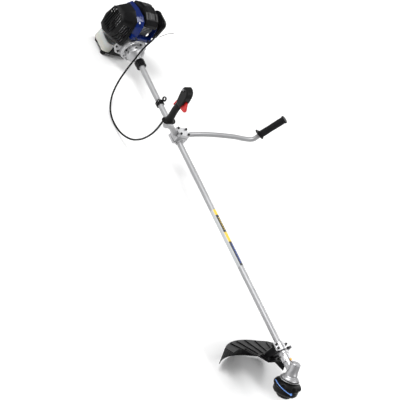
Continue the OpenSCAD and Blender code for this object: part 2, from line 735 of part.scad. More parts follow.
// Both arms leave the clamp sideways, rise outwards, then turn up into the grips
left_base = [106, 294, 182];
left_lean = [0.07, 0.26, 0.96];
right_base = [112, -294, 182];
right_lean = [-0.1, -0.195, 0.975];
function arm(base, lean, length) = let (s = sign(base[1])) [
    [0, s * 36, 0], [3, s * 60, 14], [28, s * 120, 56], [66, s * 206, 104],
    [91, s * 254, 127], [105, s * 280, 147], base + [0, -s * 3, -10], base + 12 * unit(lean),
    base + length * unit(lean)
];
function tail(p, n) = [for (i = [len(p) - n:len(p) - 1]) p[i]];
function reversed(p) = [for (i = [len(p) - 1:-1:0]) p[i]];
bar_wall = 1.8;
// The bar's length inside the throttle grip
bar_end = 64;
function bar_path(extra) = concat(reversed(smooth(arm(right_base, right_lean, bar_end + extra), 4)),
    smooth(arm(left_base, left_lean, grip_len - 4 + extra), 4));
module handlebar() color("#cfd1d2") place() translate([handle_x, 0, handle_z]) difference() {
    swept(bar_path(0), bar_d / 2, 16, [1, 0, 0]);
    swept(bar_path(1), bar_d / 2 - bar_wall, 16, [1, 0, 0]);
}
// Puts a child drawn along +Z onto a grip's axis, with +X roughly forward
module on_grip(base, lean) {
    d = unit(lean);
    translate([handle_x, 0, handle_z] + base)
        rotate([-asin(d[1]), 0, 0]) rotate([0, atan2(d[0], d[2] / cos(asin(d[1]))), 0]) children();
}
module left_grip() color("#1b1b1c") place() on_grip(left_base, left_lean) difference() {
    union() {
        rotate_extrude() polygon([
            [0, 0], [21, 0], [23, 2.5], [21, 5], [grip_d / 2 + 0.5, 7], [grip_d / 2, 12],
            [grip_d / 2 - 1, grip_len * 0.4], [grip_d / 2, grip_len * 0.75], [grip_d / 2 - 0.5, grip_len - 8],
            [grip_d / 2 + 2.5, grip_len - 5], [grip_d / 2 + 2.5, grip_len - 1], [grip_d / 2, grip_len + 1],
            [0, grip_len + 1]
        ]);
        // hand stop
        for (c = [[-6, -21], [2, 9]]) translate([c[0], c[1], 0]) cylinder(h = 5, d = 27);
    }
    translate([0, 0, -1]) cylinder(h = grip_len - 1, d = bar_d + 0.2);
    for (z = [20:8:grip_len - 16]) translate([0, 0, z]) rotate_extrude()
        translate([grip_d / 2 + 0.8, 0]) circle(d = 3.4, $fn = 16);
}

// ---------------------------------------------------------------------------
// Throttle grip, trigger, lockout and stop switch
// ---------------------------------------------------------------------------
stem_len = 112;
trigger_pivot = [26, 0, 126];
lockout_pivot = [-8, 0, 112];
trigger_w = 9;
lockout_w = 8;
pin_d = 4;
head_w = 34;
// Side outline of the grip's head, as [x, z] on the grip's own axis
grip_head = [[-4, 104], [-5, 122], [-10, 140], [-11, 160], [-9, 176], [-4, 185], [4, 189],
    [14, 188], [25, 182], [32, 172], [35, 156], [35, 136], [33, 120], [24, 98]];
module throttle_grip() color("#1c1d1e") place() difference() {
    on_grip(right_base, right_lean) throttle_body();
    // the bar is still turning up where it enters, and the cable ends in the nose
    translate([handle_x, 0, handle_z])
        swept(tail(smooth(arm(right_base, right_lean, bar_end), 4), 14), bar_d / 2 + gap / 2, 16, [1, 0, 0]);
    swept(tail(smooth(cable_route, 4), 8), cable_d / 2 + gap, 8);
}
module throttle_body() difference() {
    union() {
        // oval hand stop
        hull() for (c = [[-3, -17], [3, -17], [4, 14], [-2, 17]])
            translate([c[0], c[1], -6]) cylinder(h = 7, d = 30);
        rotate_extrude() polygon([[0, 0], [21, 0], [18, 8], [15.5, 20], [15, 60], [0, 60]]);
        hull() {
            translate([0, 0, 59]) cylinder(h = 1, d = 30);
            translate([5, 0, stem_len]) cylinder(h = 1, d = 29);
        }
        hull() {
            along_y(-head_w / 2 + 3) linear_extrude(height = head_w - 6) polygon(grip_head);
            along_y(-head_w / 2) linear_extrude(height = head_w) polygon(inward(grip_head, [10, 142], 4));
        }
        // nose where the cable enters
        translate([-8, -16, -16]) cylinder(h = 12, d = 16);
    }
    translate([0, 0, -10]) cylinder(h = bar_end + 11, d = bar_d + 0.2);
    // pockets for the trigger and for the lockout lever
    along_y(-trigger_w / 2 - gap) linear_extrude(height = trigger_w + 2 * gap)
        polygon([[11, 76], [64, 76], [64, 137], [34, 137], [22, 136], [11, 126]]);
    along_y(-lockout_w / 2 - gap) linear_extrude(height = lockout_w + 2 * gap)
        polygon([[-34, 62], [-9, 67], [1, 98], [2, 122], [-17, 122], [-34, 100]]);
    translate(trigger_pivot) rod_y(-13, 13, pin_d + 2 * running);
    translate(lockout_pivot) rod_y(-11, 11, pin_d + 2 * running);
    // slot for the stop switch
    block([-5, -head_w / 2 - 1, 166], [11, -11, 176]);
}
module throttle_trigger() color("#c8201c") place() on_grip(right_base, right_lean) {
    translate(trigger_pivot) rod_y(-trigger_w / 2, trigger_w / 2, 15);
    translate(trigger_pivot) rod_y(-12, 12, pin_d);
    along_y(-trigger_w / 2) linear_extrude(height = trigger_w)
        polygon([[20, 124], [29, 133], [42, 133], [56, 107], [54, 96], [43, 93], [22, 91], [24, 107]]);
}
module trigger_lockout() color("#b81d1a") place() on_grip(right_base, right_lean) {
    translate(lockout_pivot) rod_y(-lockout_w / 2, lockout_w / 2, 12);
    translate(lockout_pivot) rod_y(-10, 10, pin_d);
    along_y(-lockout_w / 2) linear_extrude(height = lockout_w)
        polygon([[-14, 114], [-3, 109], [-9, 96], [-17, 72], [-21, 69], [-23, 74], [-18, 96]]);
}
module stop_switch() color("#77797b") place() on_grip(right_base, right_lean) {
    block([-4.5, -head_w / 2 - 0.6, 166.5], [4, -11.5, 175.5]);
    block([-2.5, -head_w / 2 - 3, 168], [2, -head_w / 2, 174]);
}

// Throttle cable: from the carburettor over the clutch housing, down to the
// floor beside the tube and up into the throttle grip, [x, y, z] in the tool's
// frame
cable_route = [
    [cylinder_x + 31, 66, 102], [cylinder_x + 50, 65, 102], [-98, 54, 100], [-78, 30, 94],
    [-58, 0, 80], [-34, -30, 56], [-4, -62, 34], [32, -100, -4], [72, -134, -56], [118, -158, -104],
    [176, -176, -132], [244, -188, -138], [handle_x - 109, -192, -126], [handle_x - 37, -200, -86],
    [handle_x + 17, -216, -24], [handle_x + 57, -242, 52], [handle_x + 81, -270, 118],
    [handle_x + 95, -294, 166], [handle_x + 103, -308, 196]
];
module throttle_cable() color("#141516") place() swept(smooth(cable_route, 4), cable_d / 2, 8);

// ---------------------------------------------------------------------------
// Guard, its bracket and the line cutter
// ---------------------------------------------------------------------------
bracket_x = tube_shown - 42;
bracket_len = 36;
ear_y = 30;
leg_top = 8;
module guard_bracket() color("#1d1e1f") {
    place() difference() {
        union() {
            rod_x(bracket_x, bracket_x + bracket_len, tube_d + 16);
            block([bracket_x, -ear_y - 9, -9], [bracket_x + bracket_len, ear_y + 9, -1]);
        }
        rod_x(bracket_x - 1, bracket_x + bracket_len + 1, tube_d);
        block([bracket_x - 1, -60, -1], [bracket_x + bracket_len + 1, 60, 60]);
        bracket_bolt_places() screw_hole(bolt_d, 17);
    }
    place() difference() {
        translate([bracket_x + bracket_len / 2, 0, 0]) rotate([0, 180, 0])
            translate([0, 0, 12]) rounded_plate(bracket_len, 44, 8, 110);
        rod_x(bracket_x - 1, bracket_x + bracket_len + 1, tube_d + 10);
        head_frame() block([-400, -200, leg_top], [200, 200, 200]);
    }
    place() head_frame() difference() {
        translate([guard_bolt_x, 0, leg_top - 6]) rounded_plate(58, 78, 10, 6);
        guard_bolt_places() screw_hole(bolt_d, 12);
    }
}
// The guard's bolts stand beside the leg, so that a key reaches them
guard_bolt_x = -126;
guard_bolt_y = 31;
module guard_bolt_places() {
    for (x = [guard_bolt_x - 18, guard_bolt_x + 18], y = [-guard_bolt_y, guard_bolt_y])
        translate([x, y, leg_top - 6]) mirror([0, 0, 1]) children();
}
module bracket_cap() color("#bec1c3") place() difference() {
    union() {
        rod_x(bracket_x, bracket_x + bracket_len, tube_d + 16);
        block([bracket_x, -ear_y - 9, 1], [bracket_x + bracket_len, ear_y + 9, 8]);
        // lug for the cable tie
        block([bracket_x + bracket_len - 14, ear_y + 6, 6], [bracket_x + bracket_len - 2, ear_y + 9, 24]);
    }
    rod_x(bracket_x - 1, bracket_x + bracket_len + 1, tube_d);
    block([bracket_x - 1, -60, -60], [bracket_x + bracket_len + 1, 60, 1]);
    bracket_bolt_places() screw_hole(bolt_d, 17);
}
module bracket_bolt_places() {
    for (x = [9, bracket_len - 9], y = [-ear_y, ear_y])
        translate([bracket_x + x, y, 8]) children();
}
module bracket_bolts() color("#2a2b2d") place() {
    bracket_bolt_places() screw(bolt_d, 17);
    head_frame() guard_bolt_places() screw(bolt_d, 8);
}

guard_wall = 3;
guard_top = leg_top + 3;
// Rim seen down the spindle: an arc on the right, a squarer corner on the left
rim_outline = concat(
    [for (a = [-guard_right:6:18]) guard_r * [-cos(a), sin(a)]],
    [[-0.938 * guard_r, 0.47 * guard_r], [-0.89 * guard_r, 0.555 * guard_r],
        [-0.81 * guard_r, 0.6 * guard_r], [-0.5 * guard_r, 0.5 * guard_r]]);
rim_inner = inward(rim_outline, [-60, 0], guard_wall);
module head_guard() color("#1a1b1c") place() head_frame() difference() {
    union() {
        // top plate: a flange round the rim and a web out to the bracket
        translate([0, 0, guard_top - guard_wall]) linear_extrude(height = guard_wall)
            polygon(concat(rim_outline, [
                [-0.5 * guard_r, 46], [guard_bolt_x + 29, 41], [guard_bolt_x + 29, -41],
                [-0.5 * guard_r, -50],
                [-0.74 * guard_r, -66], [-0.72 * guard_r, -0.42 * guard_r], [-0.64 * guard_r, -0.6 * guard_r]
            ]));
        // skirt
        translate([0, 0, guard_top - 1]) linear_extrude(height = guard_rim - guard_top + 1)
            polygon(concat(rim_outline, reversed(rim_inner)));
        // stiffening ribs that run out from the bracket
        for (a = [-24:12:36]) rotate([0, 0, 180 - a])
            block([168, -1.5, guard_top - 6], [guard_r - 6, 1.5, guard_top - guard_wall + 0.2]);
    }
    guard_bolt_places() screw_hole(bolt_d, 12);
}
cutter_angle = 30;
module line_cutter() color("#a9acae") place() head_frame() rotate([0, 0, 180 - cutter_angle])
    translate([guard_r - guard_wall - 23, -16, guard_rim - 26]) difference() {
        cube([20, 2, 24]);
        for (z = [7, 17]) translate([10, -1, z]) rotate([-90, 0, 0]) cylinder(h = 4, d = 4);
    }

// ---------------------------------------------------------------------------
// Gear case and output
// ---------------------------------------------------------------------------
// Pitch cones of the bevel pair, whose tips meet at the head frame's origin
pinion_teeth = 14;
gear_teeth = 19;
shaft_angle = 180 - head_angle;
gear_cone = atan2(sin(shaft_angle), pinion_teeth / gear_teeth + cos(shaft_angle));
pinion_cone = shaft_angle - gear_cone;
gear_outer = 19;
cone_len = gear_outer / sin(gear_cone);
tooth_w = 7;
case_d = 50;
spindle_d = 10;
output_bearing_d = 26;
case_bottom = 31;

module gear_case() color("#d0d2d3") place() difference() {
    union() {
        rod_x(gear_neck_x, head_x - 8, 38);
        rod_x(gear_neck_x, gear_neck_x + 10, 42);
        head_frame() rotate_extrude() polygon([
            [0, -40], [17, -40], [21, -36], [22, -6], [case_d / 2 - 2, 2], [case_d / 2, 10],
            [case_d / 2, 16], [flange_d / 2 - 6, case_bottom - 6], [flange_d / 2 - 3, case_bottom],
            [0, case_bottom]
        ]);
        translate([gear_neck_x + 22, -25, -8]) cube([22, 10, 16]);
    }
    rod_x(gear_neck_x - 1, tube_front, tube_d);
    rod_x(tube_front - 1, tube_front + 22, output_bearing_d);
    rod_x(tube_front + 20, head_x - 6, 34);
    head_frame() {
        cylinder(h = case_bottom + 1, d = output_bearing_d);
        translate([0, 0, -6]) cylinder(h = 19, d = 2 * gear_outer + 2);
    }
    grease_place() translate([0, 0, -14]) cylinder(h = 30, d = 8);
}
module grease_place() {
    translate([gear_neck_x + 45, 0, 0]) rotate([8, 0, 0]) translate([0, 0, 19]) children();
}
module grease_plug() color("#b07a2c") place() grease_place() {
    translate([0, 0, 0.5]) cylinder(h = 4, d = 11, $fn = 6);
    translate([0, 0, -1]) cylinder(h = 1.6, d = 8);
}
module bearings() color("#9ea2a4") {
    place() bearing_x(clutch_bearing_x, hub_d, clutch_bearing_d, 8);
    place() bearing_x(tube_front + 2, drive_d, output_bearing_d, 8);
    place() bearing_x(tube_front + 12, drive_d, output_bearing_d, 8);
    place() head_frame() for (z = [13.5, 22.5]) translate([0, 0, z]) rotate([0, -90, 0])
        bearing_x(0, spindle_d, output_bearing_d, 8);
}
module pinion() color("#6d7174") place() difference() {
    union() {
        translate([head_x, 0, 0]) rotate([0, -90, 0])
            translate([0, 0, (cone_len - tooth_w) * cos(pinion_cone)])
            cylinder(h = tooth_w * cos(pinion_cone),
                r1 = (cone_len - tooth_w) * sin(pinion_cone) - 0.6, r2 = cone_len * sin(pinion_cone) - 0.6);
        rod_x(pinion_back, head_x - cone_len * cos(pinion_cone), 2 * cone_len * sin(pinion_cone) - 4);
    }
    rod_x(pinion_back - 1, pinion_back + 2, drive_d);
}
module output_gear() color("#777b7e") place() head_frame() {
    translate([0, 0, (cone_len - tooth_w) * cos(gear_cone)])
        cylinder(h = tooth_w * cos(gear_cone), r1 = (cone_len - tooth_w) * sin(gear_cone), r2 = gear_outer);
    translate([0, 0, cone_len * cos(gear_cone)])
        cylinder(h = 12 - cone_len * cos(gear_cone), r = gear_outer);
    translate([0, 0, 12]) cylinder(h = 1.4, d = 14);
    translate([0, 0, 12]) cylinder(h = flange_z - 12, d = spindle_d);
}
flange_z = 33;
spool_top = 40;
module output_flange() color("#bfc2c4") place() head_frame() difference() {
    union() {
        translate([0, 0, flange_z]) cylinder(h = 4, d = flange_d);
        translate([0, 0, flange_z + 4]) cylinder(h = spool_top - flange_z - 4, d = 46);
        translate([0, 0, spool_top]) cylinder(h = 22, d = spindle_d);
    }
    translate([29, 0, flange_z - 1]) cylinder(h = 6, d = 6);
}

// ---------------------------------------------------------------------------
// Line head
// ---------------------------------------------------------------------------
eyelet_z = 75;
eyelet_d = 8;
eyelet_turn = -26;
scallops = 8;
module spool_housing() color("#17181a") place() head_frame() difference() {
    rotate_extrude($fn = 72) polygon([
        [0, spool_top], [32, spool_top], [46, spool_top + 3], [spool_d / 2 - 4, spool_top + 9],
        [spool_d / 2, spool_top + 16], [spool_d / 2, spool_top + 24], [spool_d / 2 - 5, spool_top + 28],
        [spool_d / 2 - 6, spool_bottom - 8], [spool_d / 2 - 12, spool_bottom], [0, spool_bottom]
    ]);
    translate([0, 0, spool_top + 10]) difference() {
        cylinder(h = spool_bottom - spool_top - 14, d = spool_d - 20);
        cylinder(h = 12, d = 20);
    }
    translate([0, 0, spool_top - 1]) cylinder(h = 23.2, d = spindle_d);
    // mouth for the bump knob
    translate([0, 0, spool_bottom - 5]) cylinder(h = 6, d = 62 + 2 * gap);
    // finger scallops round the upper rim
    for (i = [0:scallops - 1]) rotate([0, 0, (i + 0.5) * 360 / scallops])
        translate([spool_d / 2 + 7, 0, spool_top - 1]) cylinder(h = 31, d = 28, $fn = 32);
    for (a = [0, 180]) rotate([0, 0, a + eyelet_turn]) translate([spool_d / 2 - 16, 0, eyelet_z])
        rotate([0, 90, 0]) cylinder(h = 20, d = eyelet_d);
}
spool_core = 30;
module line_spool() color("#30363c") place() head_frame() difference() {
    union() {
        translate([0, 0, spool_top + 11]) cylinder(h = 3, d = spool_d - 24);
        translate([0, 0, spool_top + 11]) cylinder(h = 36, d = 2 * spool_core);
        translate([0, 0, spool_top + 16]) cylinder(h = 22, d = spool_d - 34);
        translate([0, 0, spool_top + 40]) cylinder(h = 3, d = spool_d - 24);
    }
    translate([0, 0, spool_top + 10]) cylinder(h = 40, d = 20 + 4 * running);
}
knob_travel = 3;
module bump_knob() color("#1e2022") place() head_frame() difference() {
    union() {
        translate([0, 0, spool_bottom - 5 + knob_travel + gap]) cylinder(h = 12, d = 62);
        translate([0, 0, spool_bottom + 7 + knob_travel + gap - 0.01]) cylinder(h = 6, d1 = 62, d2 = 48);
    }
    for (a = [0:45:315]) rotate([0, 0, a]) translate([33, 0, spool_bottom + 2])
        cylinder(h = 20, d = 9, $fn = 24);
}
// Two stubs of line: one curls back round the housing, the other stands out
curl = concat([[spool_d / 2 - 8, 0, eyelet_z], [spool_d / 2 + 4, 0, eyelet_z]],
    [for (a = [12:12:84]) let (r = spool_d / 2 + 5)
        [r * cos(a), -r * sin(a), eyelet_z - 0.36 * a]]);
straight = [for (q = [[-8, 0, 0], [4, 0, 0], [16, -4, -7], [32, -14, -11], [52, -34, -19],
    [68, -64, -29], [76, -98, -37]]) [spool_d / 2, 0, eyelet_z] + q];
module line_stub(path) {
    swept(smooth(path, 2), line_d / 2, 8);
    translate([spool_d / 2 - 12, 0, eyelet_z]) rotate([0, 90, 0]) {
        cylinder(h = 8, d = eyelet_d);
        translate([0, 0, 8]) cylinder(h = 2.5, d = eyelet_d + 2);
    }
}
module trimmer_line() color("#5b86d8") place() head_frame() {
    rotate([0, 0, eyelet_turn]) line_stub(curl);
    rotate([0, 0, eyelet_turn + 180]) line_stub(straight);
}

crankcase();
cylinder_node();  // cylinder
spark_plug();
plug_cap();
top_cover();
blue_shroud();
muffler();
muffler_guard();
intake_block();
carburettor();
choke_lever();
primer_bulb();
filter_base();
filter_cover();
filter_knob();
starter_housing();
starter_pulley();
starter_handle();
fuel_tank();
fuel_cap();
tank_stand();
fan_housing();
flywheel();
crankshaft();
clutch_shoes();
clutch_drum();
clutch_housing();
tube_collar();
engine_screws();
drive_tube();
drive_shaft();
shaft_bushes();
tube_label();
hanger_clamp();
handle_base();
handle_saddle();
handle_cap();
handle_bolts();
handlebar();
throttle_grip();
throttle_trigger();
trigger_lockout();
stop_switch();
left_grip();
throttle_cable();
guard_bracket();
bracket_cap();
bracket_bolts();
head_guard();
line_cutter();
gear_case();
bearings();
pinion();
output_gear();
output_flange();
grease_plug();
spool_housing();
line_spool();
bump_knob();
trimmer_line();
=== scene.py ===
# %% [markdown]
# # A petrol string trimmer
# The machine is an engine on the end of a long straight tube, with a bull-horn handlebar, a guard and
# a line head. The CAD frame already has every piece in its place, in metres. This lesson gives each
# piece its finish, and rebuilds the moulded and bent ones with softer edges and finer detail.

# %% Load the frame
import json
import math

import bpy
import bmesh
from mathutils import Matrix, Vector


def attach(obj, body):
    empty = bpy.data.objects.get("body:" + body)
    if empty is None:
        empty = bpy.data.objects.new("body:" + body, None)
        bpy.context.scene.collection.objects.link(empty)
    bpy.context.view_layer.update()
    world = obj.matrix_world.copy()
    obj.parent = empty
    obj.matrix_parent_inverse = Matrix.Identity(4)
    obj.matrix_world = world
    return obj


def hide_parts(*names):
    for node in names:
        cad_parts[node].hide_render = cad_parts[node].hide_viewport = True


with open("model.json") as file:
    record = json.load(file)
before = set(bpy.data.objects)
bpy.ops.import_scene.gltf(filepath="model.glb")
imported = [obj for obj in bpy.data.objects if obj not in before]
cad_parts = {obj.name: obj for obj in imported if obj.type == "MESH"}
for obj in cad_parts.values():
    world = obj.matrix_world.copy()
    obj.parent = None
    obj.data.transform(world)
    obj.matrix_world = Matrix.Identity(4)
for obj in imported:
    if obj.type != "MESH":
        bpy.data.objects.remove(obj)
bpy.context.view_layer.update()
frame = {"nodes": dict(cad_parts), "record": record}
NODES = frame["nodes"]
JOINTS = {j["name"]: j for j in frame["record"]["behaviour"]["joints"]}

# %% [markdown]
# ## The tool's own frame
# The makers of the machine measure along the tube: x from the collar, y to the left, z up. The machine
# rests tipped by a few degrees, so one matrix turns these round numbers into the scene's frame. Its
# tilt and place come from the frame itself: the drive tube's axis is the drive joint's axis.

# %% Tool frame
MM = 0.001
TUBE_AXIS = Vector(JOINTS["drive_spin"]["axis"])
PITCH = math.atan2(TUBE_AXIS.z, TUBE_AXIS.x)
DRIVE_STATION = 700 * MM
TOOL = Matrix.Rotation(-PITCH, 4, "Y")
TOOL.translation = Vector(JOINTS["drive_spin"]["pos_m"]) - TUBE_AXIS * DRIVE_STATION


def tool(x, y, z):
    """A point given in millimetres along the tool, in the scene."""
    return TOOL @ Vector((x * MM, y * MM, z * MM))


print("pitch", round(math.degrees(PITCH), 3), "collar at", tuple(round(v, 4) for v in tool(0, 0, 0)))

# %% [markdown]
# ## Camera
# A long lens from the front right and above keeps the two-metre tube from looking bent. The camera is
# rolled, so that the tube runs from the upper left corner to the lower right one.

# %% Camera
EYE = (3066.0, -3802.0, 2652.9)
SIDEWAYS = Vector((0.39503, 0.67900, 0.61880))
UPWARDS = Vector((-0.80289, -0.07218, 0.59174))
BACKWARDS = Vector((0.44645, -0.73058, 0.51665))
SENSOR = 36.0
LENS = 107.77

camera_data = bpy.data.cameras.new("studio_camera")
camera_data.sensor_width = SENSOR
camera_data.lens = LENS
camera_data.clip_end = 60
camera = bpy.data.objects.new("studio_camera", camera_data)
bpy.context.scene.collection.objects.link(camera)
turn = Matrix((SIDEWAYS, UPWARDS, BACKWARDS)).transposed().to_4x4()
turn = Matrix.Rotation(-PITCH, 4, "Y") @ turn
turn.translation = tool(*EYE)
camera.matrix_world = turn
bpy.context.scene.camera = camera
print("camera at", tuple(round(v, 3) for v in camera.location))

# %% [markdown]
# ## Shader maths in plain Python
# Procedural materials are sums and products of masks. Wiring each Math node by hand hides the formula,
# so a small class wraps a socket and gives it arithmetic: `0.4 + 0.1 * grain` makes the nodes.


# %% Wire and Finish
class Wire:
    """A socket that can be added, multiplied and compared like a number."""

    def __init__(self, finish, socket):
        self.finish, self.socket = finish, socket

    def maths(self, operation, *values):
        return self.finish.node("Math", {"operation": operation}, *values)

    def __add__(self, other):
        return self.maths("ADD", self, other)

    def __sub__(self, other):
        return self.maths("SUBTRACT", self, other)

    def __mul__(self, other):
        return self.maths("MULTIPLY", self, other)

    def __truediv__(self, other):
        return self.maths("DIVIDE", self, other)

    def __mod__(self, other):
        return self.maths("FLOORED_MODULO", self, other)

    def __gt__(self, other):
        return self.maths("GREATER_THAN", self, other)

    def __lt__(self, other):
        return self.maths("LESS_THAN", self, other)

    __radd__ = __add__
    __rmul__ = __mul__


class Finish:
    """A material with one Principled shader, and a method that adds any node."""

    def __init__(self, name):
        self.material = bpy.data.materials.new(name)
        self.material.use_nodes = True
        self.tree = self.material.node_tree
        self.shader = self.tree.nodes["Principled BSDF"]
        self.place = self.node("TexCoord", {}, out="Object")

    def node(self, kind, settings, *values, out=0, **named):
        node = self.tree.nodes.new("ShaderNode" + kind)
        for key, value in settings.items():
            setattr(node, key, value)
        for key, value in list(enumerate(values)) + list(named.items()):
            self.plug(node.inputs[key], value)
        return Wire(self, node.outputs[out])

    def plug(self, socket, value):
        if isinstance(value, Wire):
            self.tree.links.new(value.socket, socket)
        else:
            socket.default_value = value

    def noise(self, scale, detail=2.0, stretch=(1, 1, 1)):
        """Smooth noise from 0 to 1, `scale` cells to a metre."""
        where = self.node("Mapping", {}, self.place, Scale=[scale * s for s in stretch])
        return self.node("TexNoise", {}, Vector=where, Scale=1.0, Detail=detail)

    def blend(self, factor, low, high):
        """A colour between two colours."""
        mix = self.tree.nodes.new("ShaderNodeMix")
        mix.data_type = "RGBA"
        for index, value in ((0, factor), (6, low), (7, high)):
            self.plug(mix.inputs[index], value)
        return Wire(self, mix.outputs[2])

    def bumps(self, height, depth):
        """Raises the surface by `depth` metres where `height` is 1."""
        bump = self.node("Bump", {}, Distance=depth, Strength=1.0, Height=height)
        self.plug(self.shader.inputs["Normal"], bump)

    def set(self, **values):
        for key, value in values.items():
            self.plug(self.shader.inputs[key.replace("_", " ")], value)
        return self.material


def rgb(red, green, blue):
    return (red, green, blue, 1.0)


# %% [markdown]
# ## Moulded plastic
# Black mouldings are never one flat black. The mould is spark-eroded, which leaves a fine even grain,
# and handling polishes some places and dusts others. So the roughness drifts slowly, the colour lifts a
# little where it is dusty, and a very fine noise lifts the surface by a few hundredths of a millimetre.


# %% Plastics
def moulded(name, dark, light, rough, grain_mm, gloss, coat):
    f = Finish(name)
    drift = f.noise(22, 3)
    grain = f.noise(1400, 1)
    f.bumps(grain + 0.35 * f.noise(160, 2), grain_mm * MM)
    f.shader.inputs["Coat Weight"].default_value = coat
    f.shader.inputs["Coat Roughness"].default_value = 0.12
    f.shader.inputs["Specular IOR Level"].default_value = gloss
    return f.set(Base_Color=f.blend(drift, dark, light), Roughness=rough - 0.08 + 0.16 * drift)


# Each row: slot, name, dark colour, light colour, roughness, grain in mm, gloss, coat
PLASTICS = [
    ("black_plastic", "black moulding", (0.002, 0.002, 0.002), (0.005, 0.005, 0.006),
     0.30, 0.02, 0.14, 0.0),
    ("grip_plastic", "black handle moulding", (0.002, 0.002, 0.002), (0.006, 0.006, 0.006),
     0.38, 0.05, 0.16, 0.0),
    ("grey_plastic", "grey switch moulding", (0.16, 0.16, 0.17), (0.22, 0.22, 0.23),
     0.38, 0.02, 0.5, 0.0),
    ("blue_plastic", "blue gloss shroud", (0.001, 0.009, 0.075), (0.002, 0.014, 0.12),
     0.22, 0.01, 0.20, 0.15),
    ("red_plastic", "red gloss moulding", (0.42, 0.003, 0.003), (0.52, 0.006, 0.006),
     0.28, 0.01, 0.25, 0.15),
    ("rubber", "black rubber", (0.002, 0.002, 0.002), (0.007, 0.007, 0.008),
     0.50, 0.06, 0.16, 0.0),
    ("primer", "soft primer rubber", (0.46, 0.06, 0.04), (0.58, 0.09, 0.06),
     0.35, 0.01, 0.5, 0.2),
    ("line", "blue nylon line", (0.10, 0.24, 0.66), (0.17, 0.36, 0.82),
     0.25, 0.01, 0.5, 0.3),
]
FINISH = {}
for slot, name, dark, light, *rest in PLASTICS:
    FINISH[slot] = moulded(name, rgb(*dark), rgb(*light), *rest)
print("plastics", len(FINISH))

# %% [markdown]
# ## The fuel tank
# The tank is blown from unpigmented polyethylene, so light goes a little way into it. Subsurface
# scattering does that. The lower part is slightly warmer where fuel stands behind the wall.


# %% Tank finish
def blown_tank():
    f = Finish("translucent tank")
    height = f.node("SeparateXYZ", {}, f.place, out="Z")
    fuel = f.node("MapRange", {"interpolation_type": "SMOOTHSTEP"}, height, 0.045, 0.055, 1.0, 0.0)
    cloud = f.noise(30, 3)
    f.bumps(f.noise(900, 1) + 0.5 * cloud, 0.03 * MM)
    f.shader.inputs["Subsurface Weight"].default_value = 0.12
    f.shader.inputs["Subsurface Scale"].default_value = 0.004
    plain = f.blend(cloud, rgb(0.46, 0.47, 0.46), rgb(0.55, 0.56, 0.55))
    return f.set(Base_Color=f.blend(fuel, plain, rgb(0.50, 0.50, 0.45)), Roughness=0.34 + 0.14 * cloud)


FINISH["tank_plastic"] = blown_tank()

# %% [markdown]
# ## Metals
# Die-cast aluminium has a fine sandy skin and faint cloudy patches from the die. Drawn tube is smoother
# and shows long fine lines, which come from noise stretched along the tube. Steel parts are turned, so
# they only need a slight streak.


# %% Metals
def metal(name, dark, light, rough, metallic, scale, stretch, depth_mm):
    f = Finish(name)
    cloud = f.noise(14, 4)
    skin = f.noise(scale, 2, stretch)
    f.bumps(skin, depth_mm * MM)
    polish = rough + 0.14 * skin + 0.06 * cloud
    return f.set(Base_Color=f.blend(cloud, dark, light), Metallic=metallic, Roughness=polish)


EVEN, ALONG_TUBE = (1, 1, 1), (0.01, 1, 1)
METALS = [
    ("cast_aluminium", "die-cast aluminium", 0.36, 0.50, 0.30, 0.78, 1100, EVEN, 0.06),
    ("tube_silver", "drawn aluminium tube", 0.33, 0.39, 0.40, 0.60, 1600, ALONG_TUBE, 0.01),
    ("steel", "turned steel", 0.34, 0.48, 0.26, 1.0, 900, (1, 0.2, 1), 0.02),
    ("black_steel", "blackened steel", 0.012, 0.03, 0.34, 0.6, 1200, EVEN, 0.03),
]
for slot, name, dark, light, *rest in METALS:
    FINISH[slot] = metal(name, rgb(dark, dark, dark * 1.02), rgb(light, light, light * 1.02), *rest)
BRASS_DARK, BRASS_LIGHT = rgb(0.42, 0.22, 0.05), rgb(0.58, 0.34, 0.09)
FINISH["brass"] = metal("turned brass", BRASS_DARK, BRASS_LIGHT, 0.24, 1.0, 900, EVEN, 0.02)
print("metals", len(METALS) + 1)


# %% [markdown]
# ## The tube's label
# A printed film is wrapped round the tube. It is silver, with a strip of plain coloured blocks down one
# side. Two numbers place a point on it: the share of the film's length, and how far round the tube it
# lies from the middle of the strip. Every block is then a product of comparisons.


# %% Label finish
LABEL_START, LABEL_LENGTH, TUBE_R = 828 * MM, 290 * MM, 13 * MM
STRIP_FACES = TOOL.to_3x3() @ Vector((0, 0.74, 0.67))


def striped_label():
    f = Finish("printed film")

    def along(direction, origin):
        dot = f.node("VectorMath", {"operation": "DOT_PRODUCT"}, f.place, tuple(direction), out="Value")
        return dot - direction.dot(origin)

    share = (along(TUBE_AXIS, tool(0, 0, 0)) - LABEL_START) / LABEL_LENGTH
    turn_share = along(STRIP_FACES, tool(0, 0, 0)) / TUBE_R
    strip = (turn_share > -0.12) * (share > 0.0) * (share < 1.0)
    yellow = (share < 0.10) + (share > 0.41) * (share < 0.58)
    marks = ((share * 34.0) % 1.0 < 0.45) * (turn_share > 0.35) * (turn_share < 0.70)
    upper = (share > 0.14) * (share < 0.38) * marks
    lower = (share > 0.62) * (share < 0.96) * marks
    black, gold, blue = rgb(0.012, 0.012, 0.014), rgb(0.72, 0.50, 0.03), rgb(0.03, 0.10, 0.50)
    print_ink = f.blend(lower, f.blend(upper, black, gold), blue)
    print_ink = f.blend(yellow, print_ink, gold)
    film = f.blend(f.noise(60, 2), rgb(0.42, 0.43, 0.44), rgb(0.50, 0.51, 0.52))
    return f.set(Base_Color=f.blend(strip, film, print_ink), Roughness=0.28 + 0.08 * f.noise(300, 1))


FINISH["label"] = striped_label()

# %% Give every frame node its finish
SLOTS = {part["node"]: part["material_slot"] for part in frame["record"]["subparts"]}
for name, obj in NODES.items():
    obj.data.materials.clear()
    obj.data.materials.append(FINISH[SLOTS[name]])
print("finished", len(NODES), "frame nodes")

